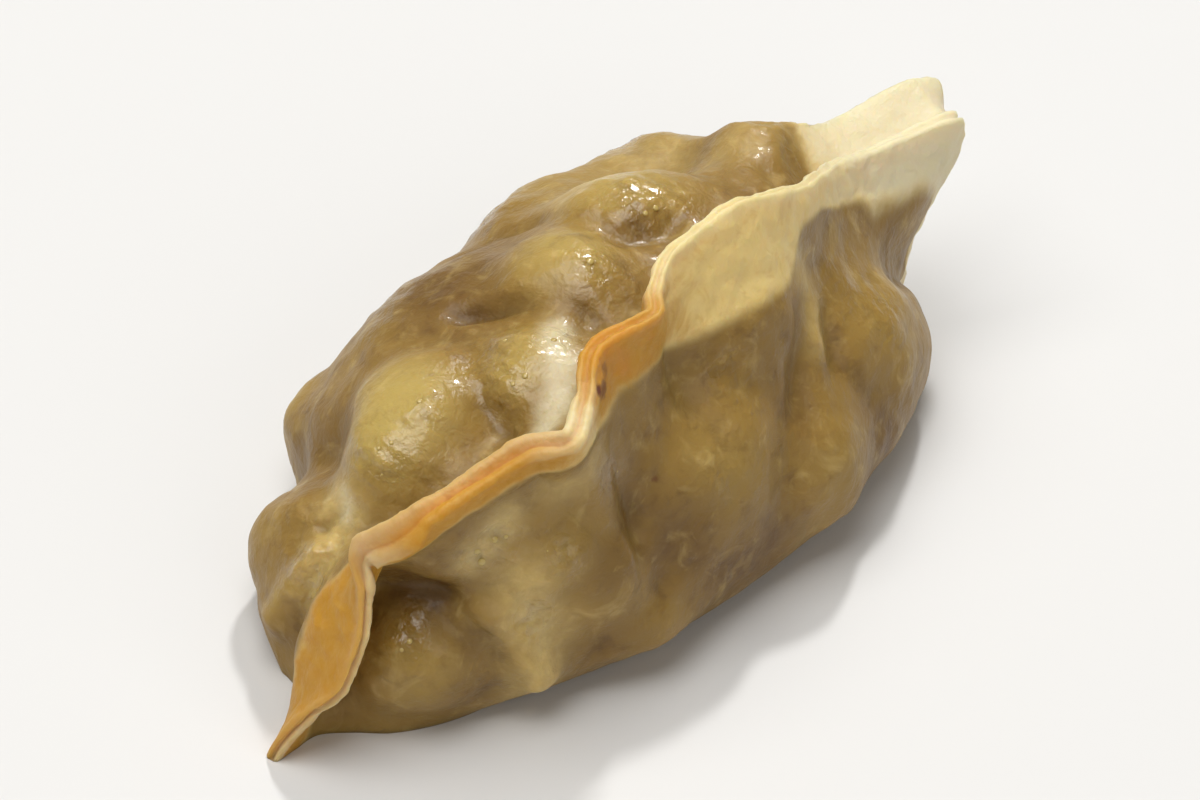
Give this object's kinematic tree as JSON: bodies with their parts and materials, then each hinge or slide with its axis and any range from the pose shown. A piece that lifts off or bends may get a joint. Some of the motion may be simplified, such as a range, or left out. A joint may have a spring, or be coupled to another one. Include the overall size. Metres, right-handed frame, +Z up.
{
  "type": "dumpling",
  "caption": "Half-moon steamed beef dumpling with a lumpy filled belly, a wavy pressed frill along its top and a flat base to rest on.",
  "frame": {"origin": "on the flat base, under the middle of the dumpling's box", "axes": "+X along the seam towards the fanned back tip, +Y towards the fuller side, +Z up"},
  "size_m": [0.0808, 0.0396, 0.031],
  "materials": {
    "steamed_dough": "moist, slightly see-through steamed dough over a brown filling, with a paler frill toasted orange in places"
  },
  "bodies": {
    "root": {"dumpling": "steamed_dough"}
  },
  "joints": []
}
